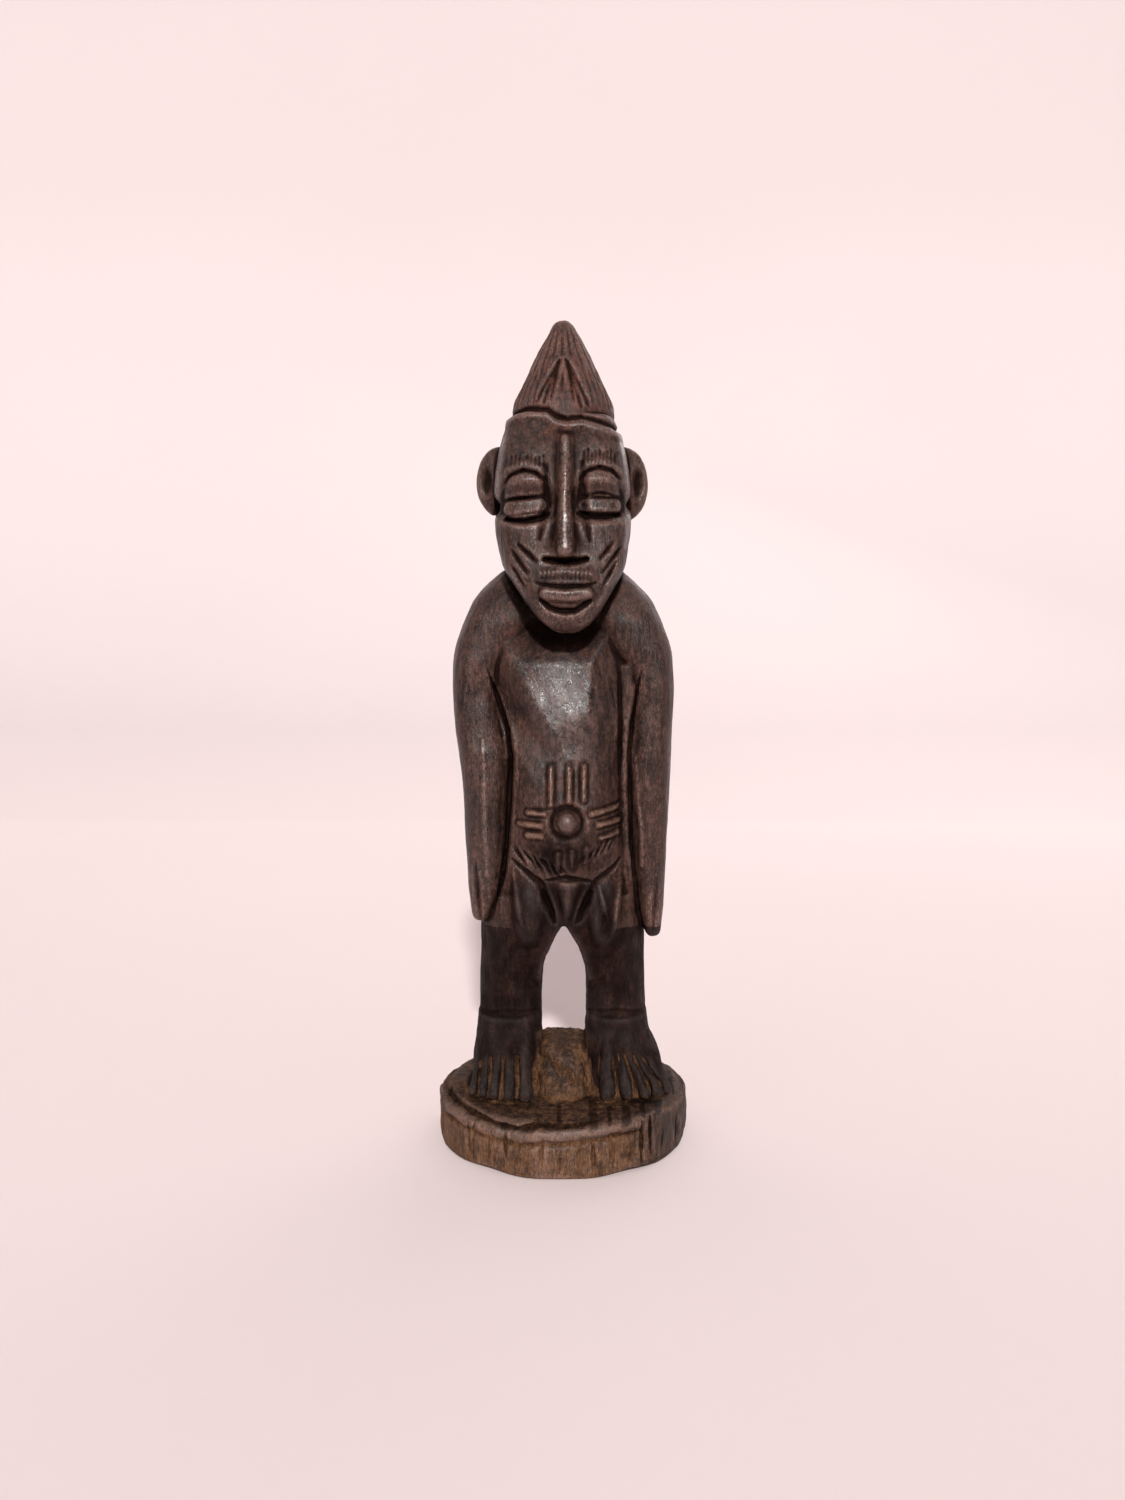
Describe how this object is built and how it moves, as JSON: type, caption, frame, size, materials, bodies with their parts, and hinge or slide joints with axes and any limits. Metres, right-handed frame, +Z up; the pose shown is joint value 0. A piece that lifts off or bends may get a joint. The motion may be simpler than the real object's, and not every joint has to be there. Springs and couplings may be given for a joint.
{
  "type": "carved wooden figure",
  "caption": "Small carved wooden figure with a tall conical coiffure, arms at its sides and parted legs, standing on a round base.",
  "frame": {"origin": "centre of the flat underside of the round base", "axes": "+Z up through the figure, -Y the way the face looks, +X the figure's own left side"},
  "size_m": [0.057, 0.057, 0.182],
  "materials": {
    "patinated_wood": "dense wood, blackened and polished by handling",
    "reddish_wood": "dark reddish-brown wood, dry, with soil in the grooves",
    "base_wood": "ochre-brown wood, worn and unpolished, with cracks along the grain"
  },
  "bodies": {
    "root": {"base": "base_wood", "foot_hump": "base_wood", "right_foot": "patinated_wood", "left_foot": "patinated_wood", "right_leg": "patinated_wood", "left_leg": "patinated_wood", "loins": "patinated_wood", "torso": "patinated_wood", "navel": "patinated_wood", "right_arm": "patinated_wood", "left_arm": "patinated_wood", "neck": "patinated_wood", "head": "patinated_wood", "right_ear": "patinated_wood", "left_ear": "patinated_wood", "coiffure": "reddish_wood"}
  },
  "joints": []
}
